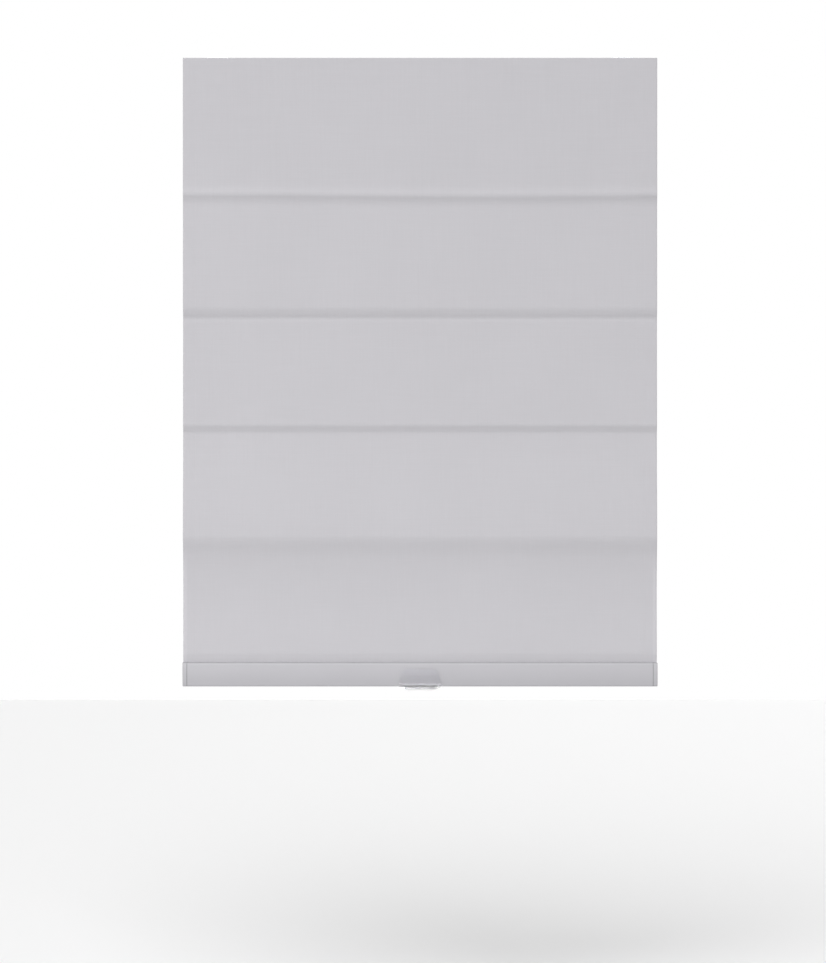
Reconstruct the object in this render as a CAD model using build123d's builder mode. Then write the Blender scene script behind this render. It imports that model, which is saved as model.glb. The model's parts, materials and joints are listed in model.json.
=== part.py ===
from build123d import *
from math import acos, cos, sin
import os

os.makedirs("parts", exist_ok=True)

# A cordless roman blind, fully lowered, in millimetres.
# +Z is up and the front of the cloth faces -Y.
# The origin is the centre of the four screw holes, in the top face of the mounting brackets.

# Cloth
shade_width = 864.0
cloth_thickness = 0.8
cloth_top = -2.0
top_panel_height = 253.0
second_panel_height = 217.0
third_panel_height = 206.0
fourth_panel_height = 208.0
bottom_panel_height = 217.0
# Each panel's face lies this much further back than the one above it.
panel_stagger = 2.4
# The lower half of each panel leans back this much on its way to the seam.
panel_lean = 1.2
hem_width = 25.0
hem_rail_gap = 5.0
# The flat stretch of a panel under its seam is at least this long.
shortest_flat = 1.0

# Seams, from the top one down
# The cloth bulges forward above the seam.
seam_ridge = (1.0, 0.0, 0.6, 0.3)
# Height over which the upper panel turns in to the seam.
seam_above = (10.0, 24.0, 12.0, 10.0)
# Depth of the crease behind the lower panel's face.
seam_crease = (0.8, 1.6, 0.3, 0.5)
# Height over which the lower panel comes out of the seam.
seam_below = (5.0, 6.0, 4.0, 95.0)

# Rod pockets, ribs and rings
rib_radius = 2.4
rib_tip_wall = 0.5
rib_tip_length = 12.0
rib_tip_end = 2.0
rib_end_gap = 3.0
pocket_clearance = 0.3
pocket_web = 2.0
ring_radius = 6.1
ring_wire_radius = 0.9
ring_gap = 0.3

# Lift cords
cord_radius = 0.6
cord_inset = 142.0
cord_knot_radius = 1.5
cord_turns_kept = 2
loose_gap = 0.3
# How far a cut runs past what it cuts.
cut_margin = 1.0

# Headrail channel
headrail_end_gap = 2.0
channel_depth = 40.0
channel_height = 36.0
channel_wall = 1.2
channel_lip = 7.0
channel_corner = 1.6
end_cap_plate = 2.5
end_cap_plug = 8.0
end_cap_wall = 1.8
end_cap_clearance = 0.2

# Mounting brackets
bracket_inset = 57.5
bracket_width = 38.0
bracket_depth = 37.0
bracket_plate = 1.6
bracket_headroom = 2.4
bracket_leg_gap = 0.5
bracket_toe = 6.0
bracket_window = 13.0
screw_hole_radius = 2.3
screw_hole_spacing = 20.0
clip_width = 30.0
clip_thickness = 0.8
clip_foot = 3.0
clip_dip = 4.3
rivet_radius = 1.5
rivet_head_radius = 3.0
rivet_head = 0.8

# Hook and loop strips
strip_height = 25.0
strip_thickness = 1.2
strip_drop = 4.0
strip_end_gap = 3.0

# Lift shaft and spools
shaft_across_flats = 5.0
shaft_overhang = 5.0
shaft_drop = 18.0
shaft_clearance = 0.05
spool_barrel_radius = 6.5
spool_flange_radius = 9.2
spool_flange = 1.5
spool_barrel_length = 26.0
journal_radius = 4.0
journal_length = 2.8
running_clearance = 0.05
side_play = 0.3

# Spool cradles and cord eyelets
cradle_base = 2.0
cradle_cheek = 2.0
cradle_cheek_radius = 7.0
cradle_foot = 3.0
cradle_mouth = 6.6
cradle_front = 14.0
eyelet_bore_radius = 2.0
eyelet_wall = 1.2
eyelet_flange = 1.2
eyelet_flange_radius = 5.5
eyelet_clearance = 0.1

# Spring motor
motor_half_length = 14.0
motor_wall = 2.0
motor_clearance = 0.2
storage_axis_y = -8.6
drum_core_radius = 4.5
storage_core_radius = 3.6
output_flange_radius = 8.2
storage_flange_radius = 7.8
drum_flange = 1.2
drum_journal_radius = 4.0
storage_journal_radius = 2.5
spring_width = 20.0
spring_thickness = 0.2
spring_output_roll = 3.0
spring_storage_roll = 0.8
motor_boss_radius = 2.4
motor_boss_inset = 3.2
motor_screw_radius = 1.2
motor_screw_head_radius = 2.2
motor_screw_head = 1.4

# Bottom rail
rail_overhang = 1.0
rail_height = 44.0
rail_wall = 1.6
rail_front = 6.0
rail_back = 19.3
rail_bulge = 1.5
rail_front_corner = 4.0
rail_foot_corner = 2.0
rail_back_corner = 2.6
rail_cap = 8.0
rail_cap_edge = 1.5
rail_cap_plug = 10.0
rail_cap_clearance = 0.2
spline_radius = 1.9
groove_depth = 6.5
groove_clearance = 0.4
ballast_width = 16.0
ballast_thickness = 5.0
ballast_end_gap = 16.0
plug_radius = 2.6
plug_flange_radius = 3.9
plug_flange = 1.2
plug_length = 6.0
stop_radius = 6.0
stop_height = 7.0
stop_bore_clearance = 0.1
# The cord stops sit this far above the rail and lift the lowest rib.
stop_lift = 135.5

# Lift handle
handle_width = 82.0
handle_top_width = 60.0
handle_height = 32.0
handle_thickness = 2.6
handle_gap = 0.1
handle_foot = 15.0
handle_corner = 6.0
ledge_reach = 11.0
ledge_drop = 2.0
ledge_bend = 7.0
ledge_tip_width = 40.0
ledge_tip_round = 1.1
handle_screw_spacing = 44.0
handle_screw_radius = 1.5
handle_screw_head_radius = 2.8
handle_screw_head = 1.6
handle_screw_inset = 9.5

# Levels and depths that follow from the sizes above
panel_heights = [
    top_panel_height,
    second_panel_height,
    third_panel_height,
    fourth_panel_height,
    bottom_panel_height,
]
seam_z = [cloth_top - sum(panel_heights[: k + 1]) for k in range(4)]
rail_top = cloth_top - sum(panel_heights)
rail_bottom = rail_top - rail_height
channel_length = shade_width - 2 * (headrail_end_gap + end_cap_plate)
bracket_spacing = channel_length - 2 * bracket_inset
channel_top = -(bracket_plate + bracket_headroom)
channel_bottom = channel_top - channel_height
channel_front = -channel_depth / 2
floor_top = channel_bottom + channel_wall
lip_underside = channel_top - channel_wall
first_face = channel_front - 2 * strip_thickness - cloth_thickness
face_y = [first_face + k * panel_stagger for k in range(5)]
pocket_inner = rib_radius + rib_tip_wall + pocket_clearance
pocket_outer = pocket_inner + cloth_thickness
rib_y = [face_y[k + 1] + cloth_thickness + pocket_web + pocket_outer for k in range(4)]
ring_y = [y + pocket_outer + ring_gap + ring_radius + ring_wire_radius for y in rib_y]
cord_y = (ring_y[0] + ring_y[3]) / 2
cord_x = shade_width / 2 - cord_inset
shaft_y = cord_y + spool_barrel_radius + running_clearance + cord_radius
shaft_z = channel_top - shaft_drop
spool_length = spool_barrel_length + 2 * spool_flange
cheek_inner = spool_length / 2 + side_play
cheek_outer = cheek_inner + cradle_cheek
shaft_length = 2 * (cord_x + cheek_outer + shaft_overhang)
spline_y = face_y[4] + cloth_thickness / 2
spline_z = rail_top - groove_depth
hem_tube_inner = spline_radius + loose_gap
hem_tube_outer = hem_tube_inner + cloth_thickness
groove_radius = hem_tube_outer + groove_clearance
groove_slot = cloth_thickness + 2 * groove_clearance
rail_front_y = spline_y - rail_front
rail_back_y = spline_y + rail_back
rail_length = shade_width + 2 * rail_overhang - 2 * rail_cap
sides = (("left", -1), ("right", 1))


# Cloth

def face_points(k):
    """The front line of panel k in (y, z), from the seam above it to its approach to the next."""
    z_upper = cloth_top if k == 0 else seam_z[k - 1]
    z_lower = rail_top if k == 4 else seam_z[k]
    middle = (z_upper + z_lower) / 2
    if k == 0:
        points = [(face_y[0], z_upper)]
    else:
        points = [
            (face_y[k] + seam_crease[k - 1], z_upper),
            (face_y[k], z_upper - seam_below[k - 1]),
        ]
    if k == 4:
        return points + [(face_y[4], z_lower)]
    points.append((face_y[k], min(middle, points[-1][1] - shortest_flat)))
    points.append((face_y[k] + panel_lean, z_lower + seam_above[k]))
    return points


def seam_points(k):
    """The stretch of panel k's front line that bulges over its seam and turns into the crease."""
    approach = face_points(k)[-1]
    crease = (face_y[k + 1] + seam_crease[k], seam_z[k])
    ridge = (approach[0] - seam_ridge[k], seam_z[k] + seam_above[k] / 3)
    if seam_ridge[k] == 0:
        return [approach, crease]
    return [approach, ridge, crease]


def set_back(points, depth):
    return [(y + depth, z) for y, z in points]


with BuildPart() as shade_fabric:
    with BuildSketch(Plane.YZ):
        for k in range(5):
            with BuildLine():
                front = face_points(k)
                back = set_back(front, cloth_thickness)
                Polyline(*front)
                Polyline(*back)
                Line(front[0], back[0])
                if k < 4:
                    turn = seam_points(k)
                    Spline(*turn)
                    Spline(*set_back(turn, cloth_thickness))
                    Line(turn[-1], set_back(turn, cloth_thickness)[-1])
                else:
                    Line(front[-1], back[-1])
            make_face()
        for k in range(4):
            web_front = face_y[k + 1] + seam_crease[k] + cloth_thickness / 2
            web_back = rib_y[k] - pocket_inner
            with Locations(((web_front + web_back) / 2, seam_z[k])):
                Rectangle(web_back - web_front, 2 * cloth_thickness)
            with Locations((rib_y[k], seam_z[k])):
                Circle(pocket_outer)
                Circle(pocket_inner, mode=Mode.SUBTRACT)
        with Locations((spline_y, (rail_top + spline_z) / 2)):
            Rectangle(cloth_thickness, groove_depth)
        with Locations((spline_y, spline_z)):
            Circle(hem_tube_outer)
            Circle(hem_tube_inner, mode=Mode.SUBTRACT)
    extrude(amount=shade_width / 2, both=True)
    for side, sign in sides:
        for k in range(5):
            hem_plane = Plane.YZ.offset(sign * (shade_width / 2 - hem_width / 2))
            with BuildSketch(hem_plane):
                with BuildLine():
                    line = face_points(k)
                    if k == 4:
                        line[-1] = (line[-1][0], rail_top + hem_rail_gap)
                    inner = set_back(line, cloth_thickness / 2)
                    outer = set_back(line, 2 * cloth_thickness)
                    Polyline(*inner, *reversed(outer), close=True)
                make_face()
            extrude(amount=hem_width / 2, both=True)
        with BuildSketch(Plane.XZ):
            with Locations((sign * (rail_length / 2 - loose_gap), rail_top + loose_gap)):
                Rectangle(
                    shade_width,
                    rail_height,
                    align=(Align.MIN if sign > 0 else Align.MAX, Align.MAX),
                )
        extrude(amount=shade_width, both=True, mode=Mode.SUBTRACT)
shade_fabric.part.label = "shade_fabric"
export_step(shade_fabric.part, "parts/shade_fabric.step")


# Headrail channel and its end caps

channel_centre_z = channel_top - channel_height / 2
inside_depth = channel_depth - 2 * channel_wall
inside_height = channel_height - 2 * channel_wall

with BuildPart() as headrail_channel:
    with BuildSketch(Plane.YZ) as channel_section:
        with Locations((0, channel_centre_z)):
            Rectangle(channel_depth, channel_height)
        fillet(channel_section.vertices(), channel_corner)
        with Locations((0, channel_centre_z)):
            Rectangle(inside_depth, inside_height, mode=Mode.SUBTRACT)
        with Locations((0, channel_top)):
            Rectangle(channel_depth - 2 * channel_lip, 3 * channel_wall, mode=Mode.SUBTRACT)
    extrude(amount=channel_length / 2, both=True)
    with BuildSketch(Plane.XY.offset(channel_bottom)):
        with Locations((-cord_x, cord_y), (cord_x, cord_y)):
            Circle(eyelet_bore_radius + eyelet_wall + eyelet_clearance)
    extrude(amount=channel_wall, mode=Mode.SUBTRACT)
headrail_channel.part.label = "headrail_channel"
export_step(headrail_channel.part, "parts/headrail_channel.step")

for side, sign in sides:
    channel_end = sign * channel_length / 2
    with BuildPart() as end_cap:
        with BuildSketch(Plane.YZ.offset(channel_end)) as plate:
            with Locations((0, channel_centre_z)):
                Rectangle(channel_depth, channel_height)
            fillet(plate.vertices(), channel_corner)
        extrude(amount=sign * end_cap_plate)
        with BuildSketch(Plane.YZ.offset(channel_end)):
            with Locations((0, channel_centre_z)):
                plug_depth = inside_depth - 2 * end_cap_clearance
                plug_height = inside_height - 2 * end_cap_clearance
                Rectangle(plug_depth, plug_height)
                Rectangle(
                    plug_depth - 2 * end_cap_wall,
                    plug_height - 2 * end_cap_wall,
                    mode=Mode.SUBTRACT,
                )
        extrude(amount=-sign * end_cap_plug)
    end_cap.part.label = f"headrail_end_cap_{side}"
    export_step(end_cap.part, f"parts/headrail_end_cap_{side}.step")


# Mounting brackets: a hooked toe holds the front lip and a forked spring clip the rear one

leg_y = channel_front + channel_lip + bracket_leg_gap
toe_z = lip_underside - bracket_plate

for side, sign in sides:
    bracket_x = sign * bracket_spacing / 2
    with BuildPart() as bracket:
        with BuildSketch(Plane.YZ.offset(bracket_x)):
            with Locations((0, 0)):
                Rectangle(bracket_depth, bracket_plate, align=(Align.CENTER, Align.MAX))
            with Locations((leg_y, 0)):
                Rectangle(bracket_plate, -toe_z, align=(Align.MIN, Align.MAX))
            with Locations((leg_y + bracket_plate, toe_z)):
                Rectangle(
                    bracket_toe + bracket_plate,
                    bracket_plate,
                    align=(Align.MAX, Align.MIN),
                )
        extrude(amount=bracket_width / 2, both=True)
        with BuildSketch(Plane.XY.offset(-bracket_plate)):
            with Locations((bracket_x, 0)):
                Rectangle(bracket_window, bracket_depth, align=(Align.CENTER, Align.MAX))
        extrude(amount=toe_z, mode=Mode.SUBTRACT)
        with BuildSketch(Plane.XY):
            with Locations(
                (bracket_x, -screw_hole_spacing / 2),
                (bracket_x, screw_hole_spacing / 2),
            ):
                Circle(screw_hole_radius)
            with Locations((bracket_x, 0)):
                Circle(rivet_radius)
        extrude(amount=-bracket_plate, mode=Mode.SUBTRACT)
    bracket.part.label = f"mounting_bracket_{side}"
    export_step(bracket.part, f"parts/mounting_bracket_{side}.step")

clip_top = -bracket_plate - clip_thickness / 2
clip_pad_z = lip_underside - clip_thickness / 2
clip_leg_y = -leg_y - bracket_plate
clip_end_y = channel_depth / 2 - channel_wall - loose_gap

for side, sign in sides:
    bracket_x = sign * bracket_spacing / 2
    with BuildPart() as clip:
        with BuildSketch(Plane.YZ.offset(bracket_x)):
            with BuildLine():
                Polyline(
                    (-2 * rivet_head_radius, clip_top),
                    (clip_leg_y - bracket_plate, clip_top),
                    (clip_leg_y + bracket_plate / 2, clip_pad_z - clip_dip),
                    (clip_end_y - clip_foot, clip_pad_z),
                    (clip_end_y, clip_pad_z),
                )
            trace(line_width=clip_thickness)
        extrude(amount=clip_width / 2, both=True)
        with BuildSketch(Plane.XY):
            with Locations((bracket_x, rivet_head_radius + loose_gap)):
                Rectangle(bracket_window, channel_depth, align=(Align.CENTER, Align.MIN))
            with Locations((bracket_x, 0)):
                Circle(rivet_radius)
        extrude(amount=-channel_height, mode=Mode.SUBTRACT)
    clip.part.label = f"bracket_spring_clip_{side}"
    export_step(clip.part, f"parts/bracket_spring_clip_{side}.step")

with BuildPart() as bracket_rivets:
    for side, sign in sides:
        bracket_x = sign * bracket_spacing / 2
        with BuildSketch(Plane.XY):
            with Locations((bracket_x, 0)):
                Circle(rivet_radius)
        extrude(amount=-bracket_plate - clip_thickness)
        with BuildSketch(Plane.XY.offset(-bracket_plate - clip_thickness)):
            with Locations((bracket_x, 0)):
                Circle(rivet_head_radius)
        extrude(amount=-rivet_head)
bracket_rivets.part.label = "bracket_rivets"
export_step(bracket_rivets.part, "parts/bracket_rivets.step")


# Hook and loop strips, which hold the cloth's top edge on the channel's front

strip_length = shade_width - 2 * (hem_width + strip_end_gap)
strip_top = channel_top - strip_drop

with BuildPart() as hook_strip:
    with BuildSketch(Plane.XZ.offset(-channel_front)):
        with Locations((0, strip_top)):
            Rectangle(strip_length, strip_height, align=(Align.CENTER, Align.MAX))
    extrude(amount=strip_thickness)
hook_strip.part.label = "hook_strip"
export_step(hook_strip.part, "parts/hook_strip.step")

with BuildPart() as loop_strip:
    with BuildSketch(Plane.XZ.offset(-channel_front + strip_thickness)):
        with Locations((0, strip_top)):
            Rectangle(strip_length, strip_height, align=(Align.CENTER, Align.MAX))
    extrude(amount=strip_thickness)
loop_strip.part.label = "loop_strip"
export_step(loop_strip.part, "parts/loop_strip.step")


# Lift shaft and spools

with BuildPart() as lift_shaft:
    with BuildSketch(Plane.YZ):
        with Locations((shaft_y, shaft_z)):
            RegularPolygon(shaft_across_flats / 2, 6, major_radius=False)
    extrude(amount=shaft_length / 2, both=True)
lift_shaft.part.label = "lift_shaft"
export_step(lift_shaft.part, "parts/lift_shaft.step")

for side, sign in sides:
    with BuildPart() as spool:
        for radius, length in (
            (spool_flange_radius, spool_length),
            (journal_radius, spool_length + 2 * journal_length),
        ):
            with BuildSketch(Plane.YZ.offset(sign * cord_x)):
                with Locations((shaft_y, shaft_z)):
                    Circle(radius)
            extrude(amount=length / 2, both=True)
        with BuildSketch(Plane.YZ.offset(sign * cord_x)):
            with Locations((shaft_y, shaft_z)):
                Circle(spool_flange_radius + cut_margin)
                Circle(spool_barrel_radius, mode=Mode.SUBTRACT)
        extrude(amount=spool_barrel_length / 2, both=True, mode=Mode.SUBTRACT)
        with BuildSketch(Plane.YZ.offset(sign * cord_x)):
            with Locations((shaft_y, shaft_z)):
                RegularPolygon(shaft_across_flats / 2 + shaft_clearance, 6, major_radius=False)
        extrude(amount=spool_length, both=True, mode=Mode.SUBTRACT)
    spool.part.label = f"cord_spool_{side}"
    export_step(spool.part, f"parts/cord_spool_{side}.step")

cradle_back = channel_depth / 2 - channel_wall - end_cap_clearance

for side, sign in sides:
    with BuildPart() as cradle:
        with BuildSketch(Plane.XY.offset(floor_top)):
            with Locations((sign * cord_x, cradle_back)):
                Rectangle(
                    2 * (cheek_outer + cradle_foot),
                    cradle_back + cradle_front,
                    align=(Align.CENTER, Align.MAX),
                )
        extrude(amount=cradle_base)
        for cheek_side in (-1, 1):
            cheek_plane = Plane.YZ.offset(sign * cord_x + cheek_side * cheek_inner)
            with BuildSketch(cheek_plane):
                with Locations((shaft_y, shaft_z)):
                    Circle(cradle_cheek_radius)
                with Locations((shaft_y, floor_top)):
                    Rectangle(
                        2 * cradle_cheek_radius,
                        shaft_z - floor_top,
                        align=(Align.CENTER, Align.MIN),
                    )
                with Locations((shaft_y, shaft_z)):
                    Circle(journal_radius + running_clearance, mode=Mode.SUBTRACT)
                    Rectangle(
                        cradle_mouth,
                        cradle_cheek_radius + cut_margin,
                        align=(Align.CENTER, Align.MIN),
                        mode=Mode.SUBTRACT,
                    )
            extrude(amount=cheek_side * cradle_cheek)
        with BuildSketch(Plane.XY.offset(floor_top)):
            with Locations((sign * cord_x, cord_y)):
                Circle(eyelet_bore_radius + eyelet_wall + eyelet_clearance)
        extrude(amount=cradle_base, mode=Mode.SUBTRACT)
    cradle.part.label = f"spool_cradle_{side}"
    export_step(cradle.part, f"parts/spool_cradle_{side}.step")

for side, sign in sides:
    with BuildPart() as eyelet:
        with BuildSketch(Plane.XY.offset(channel_bottom)):
            with Locations((sign * cord_x, cord_y)):
                Circle(eyelet_flange_radius)
        extrude(amount=-eyelet_flange)
        with BuildSketch(Plane.XY.offset(channel_bottom)):
            with Locations((sign * cord_x, cord_y)):
                Circle(eyelet_bore_radius + eyelet_wall)
        extrude(amount=channel_wall + cradle_base)
        with BuildSketch(Plane.XY.offset(channel_bottom - eyelet_flange)):
            with Locations((sign * cord_x, cord_y)):
                Circle(eyelet_bore_radius)
        extrude(amount=eyelet_flange + channel_wall + cradle_base, mode=Mode.SUBTRACT)
        mouth = eyelet.faces().sort_by(Axis.Z)[0].inner_wires().edges()
        fillet(mouth, eyelet_wall / 2)
    eyelet.part.label = f"cord_eyelet_{side}"
    export_step(eyelet.part, f"parts/cord_eyelet_{side}.step")


# Lift cords, taut from the spool barrels to the knots under the bottom rail's cord plugs

knot_z = rail_top - plug_length - loose_gap - cord_knot_radius

for side, sign in sides:
    with BuildPart() as lift_cord:
        with BuildSketch(Plane.XY.offset(knot_z)):
            with Locations((sign * cord_x, cord_y)):
                Circle(cord_radius)
        extrude(amount=shaft_z - knot_z)
        with Locations((sign * cord_x, cord_y, knot_z)):
            Sphere(cord_knot_radius)
        with BuildSketch(Plane.YZ.offset(sign * cord_x)):
            with Locations((shaft_y, shaft_z)):
                Circle(spool_barrel_radius + running_clearance + 2 * cord_radius)
                Circle(spool_barrel_radius + running_clearance, mode=Mode.SUBTRACT)
        extrude(amount=cord_turns_kept * cord_radius, both=True)
    lift_cord.part.label = f"lift_cord_{side}"
    export_step(lift_cord.part, f"parts/lift_cord_{side}.step")


# Spring motor: two housing halves, output and storage drums, and the spring between them

motor_top = lip_underside - motor_clearance
motor_height = motor_top - floor_top
motor_depth = inside_depth - 2 * motor_clearance
motor_centre_z = floor_top + motor_height / 2
motor_inner = motor_half_length - motor_wall
boss_y = motor_depth / 2 - motor_boss_inset
boss_z = motor_height / 2 - motor_boss_inset
boss_points = [
    (-boss_y, motor_centre_z - boss_z),
    (boss_y, motor_centre_z - boss_z),
    (-boss_y, motor_centre_z + boss_z),
    (boss_y, motor_centre_z + boss_z),
]

for side, sign in sides:
    with BuildPart() as housing:
        with BuildSketch(Plane.YZ):
            with Locations((0, motor_centre_z)):
                Rectangle(motor_depth, motor_height)
        extrude(amount=sign * motor_half_length)
        with BuildSketch(Plane.YZ):
            with Locations((0, motor_centre_z)):
                Rectangle(motor_depth - 2 * motor_wall, motor_height - 2 * motor_wall)
            with Locations(*boss_points):
                Circle(motor_boss_radius, mode=Mode.SUBTRACT)
        extrude(amount=sign * motor_inner, mode=Mode.SUBTRACT)
        with BuildSketch(Plane.YZ):
            with Locations((shaft_y, shaft_z)):
                Circle(drum_journal_radius + running_clearance)
            with Locations((storage_axis_y, shaft_z)):
                Circle(storage_journal_radius + running_clearance)
            with Locations(*boss_points):
                Circle(motor_screw_radius)
        extrude(amount=sign * motor_half_length, mode=Mode.SUBTRACT)
    housing.part.label = f"motor_housing_{side}"
    export_step(housing.part, f"parts/motor_housing_{side}.step")

with BuildPart() as motor_screws:
    with BuildSketch(Plane.YZ.offset(-motor_half_length)):
        with Locations(*boss_points):
            Circle(motor_screw_radius)
    extrude(amount=2 * motor_half_length)
    with BuildSketch(Plane.YZ.offset(motor_half_length)):
        with Locations(*boss_points):
            Circle(motor_screw_head_radius)
    extrude(amount=motor_screw_head)
motor_screws.part.label = "motor_screws"
export_step(motor_screws.part, "parts/motor_screws.step")

flange_outer = spring_width / 2 + side_play + drum_flange

with BuildPart() as output_drum:
    for radius, length in (
        (output_flange_radius, flange_outer),
        (drum_journal_radius, motor_half_length),
    ):
        with BuildSketch(Plane.YZ):
            with Locations((shaft_y, shaft_z)):
                Circle(radius)
        extrude(amount=length, both=True)
    with BuildSketch(Plane.YZ):
        with Locations((shaft_y, shaft_z)):
            Circle(output_flange_radius + cut_margin)
            Circle(drum_core_radius, mode=Mode.SUBTRACT)
    extrude(amount=flange_outer - drum_flange, both=True, mode=Mode.SUBTRACT)
    with BuildSketch(Plane.YZ):
        with Locations((shaft_y, shaft_z)):
            RegularPolygon(shaft_across_flats / 2 + shaft_clearance, 6, major_radius=False)
    extrude(amount=motor_half_length, both=True, mode=Mode.SUBTRACT)
output_drum.part.label = "output_drum"
export_step(output_drum.part, "parts/output_drum.step")

with BuildPart() as storage_drum:
    for radius, length in (
        (storage_flange_radius, flange_outer),
        (storage_journal_radius, motor_half_length),
    ):
        with BuildSketch(Plane.YZ):
            with Locations((storage_axis_y, shaft_z)):
                Circle(radius)
        extrude(amount=length, both=True)
    with BuildSketch(Plane.YZ):
        with Locations((storage_axis_y, shaft_z)):
            Circle(storage_flange_radius + cut_margin)
            Circle(storage_core_radius, mode=Mode.SUBTRACT)
    extrude(amount=flange_outer - drum_flange, both=True, mode=Mode.SUBTRACT)
storage_drum.part.label = "storage_drum"
export_step(storage_drum.part, "parts/storage_drum.step")

# The spring band crosses from under the full output roll to the top of the storage roll.
output_roll_inner = drum_core_radius + running_clearance
output_roll_outer = output_roll_inner + spring_output_roll
storage_roll_inner = storage_core_radius + running_clearance
storage_roll_outer = storage_roll_inner + spring_storage_roll
output_band = output_roll_outer - spring_thickness / 2
storage_band = storage_roll_outer - spring_thickness / 2
cross = acos((output_band + storage_band) / (shaft_y - storage_axis_y))

with BuildPart() as power_spring:
    with BuildSketch(Plane.YZ):
        with Locations((shaft_y, shaft_z)):
            Circle(output_roll_outer)
        with Locations((storage_axis_y, shaft_z)):
            Circle(storage_roll_outer)
        with BuildLine():
            Line(
                (shaft_y - output_band * cos(cross), shaft_z - output_band * sin(cross)),
                (storage_axis_y + storage_band * cos(cross), shaft_z + storage_band * sin(cross)),
            )
        trace(line_width=spring_thickness)
        with Locations((shaft_y, shaft_z)):
            Circle(output_roll_inner, mode=Mode.SUBTRACT)
        with Locations((storage_axis_y, shaft_z)):
            Circle(storage_roll_inner, mode=Mode.SUBTRACT)
    extrude(amount=spring_width / 2, both=True)
power_spring.part.label = "power_spring"
export_step(power_spring.part, "parts/power_spring.step")


# Ribs in the rod pockets, each with its tips and the two cord rings sewn behind it

tip_wall_end = shade_width / 2 - rib_end_gap
rib_half = tip_wall_end - rib_tip_end

for k in range(4):
    with BuildPart() as rib:
        with BuildSketch(Plane.YZ):
            with Locations((rib_y[k], seam_z[k])):
                Circle(rib_radius)
        extrude(amount=rib_half, both=True)
    rib.part.label = f"rib_{k + 1}"
    export_step(rib.part, f"parts/rib_{k + 1}.step")

    with BuildPart() as rib_tips:
        for side, sign in sides:
            with BuildSketch(Plane.YZ.offset(sign * tip_wall_end)):
                with Locations((rib_y[k], seam_z[k])):
                    Circle(rib_radius + rib_tip_wall)
            extrude(amount=-sign * rib_tip_length)
            with BuildSketch(Plane.YZ.offset(sign * rib_half)):
                with Locations((rib_y[k], seam_z[k])):
                    Circle(rib_radius)
            extrude(amount=-sign * rib_tip_length, mode=Mode.SUBTRACT)
    rib_tips.part.label = f"rib_{k + 1}_tips"
    export_step(rib_tips.part, f"parts/rib_{k + 1}_tips.step")

    for side, sign in sides:
        with BuildPart() as ring:
            with Locations((sign * cord_x, ring_y[k], seam_z[k])):
                Torus(ring_radius, ring_wire_radius)
        ring.part.label = f"cord_ring_{k + 1}_{side}"
        export_step(ring.part, f"parts/cord_ring_{k + 1}_{side}.step")


# Bottom rail

def rail_shape(grow):
    """The rail's outline, with its bulging front, grown or shrunk by this much."""
    with BuildSketch(Plane.YZ, mode=Mode.PRIVATE) as shape:
        with BuildLine():
            ThreePointArc(
                (rail_front_y, rail_top),
                (rail_front_y - rail_bulge, (rail_top + rail_bottom) / 2),
                (rail_front_y, rail_bottom),
            )
            Polyline(
                (rail_front_y, rail_bottom),
                (rail_back_y, rail_bottom),
                (rail_back_y, rail_top),
                (rail_front_y, rail_top),
            )
        make_face()
        fillet(shape.vertices().group_by(Axis.X)[-1], rail_back_corner)
        fillet(shape.vertices().sort_by_distance((rail_front_y, rail_top))[0], rail_front_corner)
        fillet(shape.vertices().sort_by_distance((rail_front_y, rail_bottom))[0], rail_foot_corner)
        offset(amount=grow)
    return shape.sketch_local


screw_y = rail_front_y + handle_screw_inset
screw_points = [(-handle_screw_spacing / 2, screw_y), (handle_screw_spacing / 2, screw_y)]
groove_block = groove_radius + rail_wall

with BuildPart() as bottom_rail:
    with BuildSketch(Plane.YZ):
        add(rail_shape(0))
        add(rail_shape(-rail_wall), mode=Mode.SUBTRACT)
        with Locations((spline_y, spline_z)):
            Circle(groove_block)
        with Locations((spline_y, rail_top)):
            Rectangle(
                groove_slot + 2 * rail_wall, groove_depth, align=(Align.CENTER, Align.MAX)
            )
        with Locations((spline_y, spline_z)):
            Circle(groove_radius, mode=Mode.SUBTRACT)
        with Locations((spline_y, rail_top)):
            Rectangle(
                groove_slot, groove_depth, align=(Align.CENTER, Align.MAX), mode=Mode.SUBTRACT
            )
    extrude(amount=rail_length / 2, both=True)
    with BuildSketch(Plane.XY.offset(rail_top)):
        with Locations((-cord_x, cord_y), (cord_x, cord_y)):
            Circle(plug_radius + running_clearance)
    extrude(amount=-rail_wall, mode=Mode.SUBTRACT)
    with BuildSketch(Plane.XY.offset(rail_bottom)):
        with Locations(*screw_points):
            Circle(handle_screw_radius)
    extrude(amount=rail_wall, mode=Mode.SUBTRACT)
bottom_rail.part.label = "bottom_rail"
export_step(bottom_rail.part, "parts/bottom_rail.step")

plug_front = rail_front_y + rail_wall + rail_cap_clearance
plug_back = rail_back_y - rail_wall - rail_cap_clearance
plug_low = rail_bottom + rail_wall + rail_cap_clearance
plug_high = spline_z - groove_block - rail_cap_clearance

for side, sign in sides:
    rail_end = sign * rail_length / 2
    with BuildPart() as rail_end_cap:
        with BuildSketch(Plane.YZ.offset(rail_end)):
            add(rail_shape(0))
        extrude(amount=sign * rail_cap)
        outer_face = rail_end_cap.faces().sort_by(Axis.X, reverse=sign < 0)[-1]
        fillet(outer_face.edges(), rail_cap_edge)
        with BuildSketch(Plane.YZ.offset(rail_end)) as cap_plug:
            with Locations(((plug_front + plug_back) / 2, (plug_low + plug_high) / 2)):
                Rectangle(plug_back - plug_front, plug_high - plug_low)
            fillet(cap_plug.vertices(), rail_back_corner - rail_wall)
            offset(amount=-rail_wall, mode=Mode.SUBTRACT)
        extrude(amount=-sign * rail_cap_plug)
    rail_end_cap.part.label = f"rail_end_cap_{side}"
    export_step(rail_end_cap.part, f"parts/rail_end_cap_{side}.step")

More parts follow.
